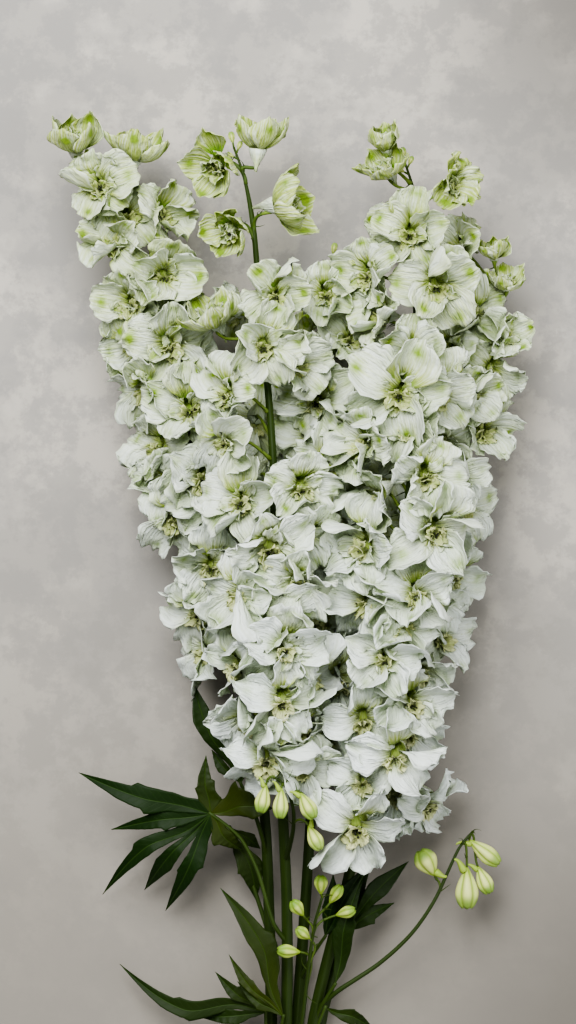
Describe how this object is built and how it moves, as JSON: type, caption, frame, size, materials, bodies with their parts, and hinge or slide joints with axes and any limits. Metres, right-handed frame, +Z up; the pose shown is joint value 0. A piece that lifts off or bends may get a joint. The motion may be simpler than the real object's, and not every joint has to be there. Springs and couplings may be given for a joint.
{
  "type": "delphinium bunch",
  "caption": "Cut bunch of white delphiniums with green leaves and buds, tied at the stems and lying on its back.",
  "frame": {"origin": "under the middle of the bunch, on the surface that it lies on", "axes": "+Z up off the surface, +Y from the cut ends towards the tips, +X to the right of the bunch"},
  "size_m": [0.3432, 0.7978, 0.1273],
  "materials": {
    "petals_white": "matte",
    "petals_green_white": "matte",
    "stem_green": "satin",
    "leaf_green": "satin",
    "bud_green": "satin",
    "tie_raffia": "matte"
  },
  "bodies": {
    "root": {"bract_low_right": "leaf_green", "buds_hanging": "bud_green", "buds_young": "bud_green", "cup_1": "petals_green_white", "cup_2": "petals_green_white", "cup_3": "petals_green_white", "cup_4": "petals_green_white", "head_back": "petals_white", "head_far_right": "petals_white", "head_left": "petals_white", "head_middle": "petals_white", "head_right": "petals_white", "leaf_big_left": "leaf_green", "leaf_bottom_left": "leaf_green", "leaf_hanging": "leaf_green", "leaf_low_left": "leaf_green", "leaf_right_dark": "leaf_green", "leaf_right_lobed": "leaf_green", "leaf_right_long": "leaf_green", "leaf_upper_left": "leaf_green", "side_shoot": "bud_green", "stem_back": "stem_green", "stem_far_right": "stem_green", "stem_left": "stem_green", "stem_middle": "stem_green", "stem_right": "stem_green", "tie": "tie_raffia"}
  },
  "joints": []
}
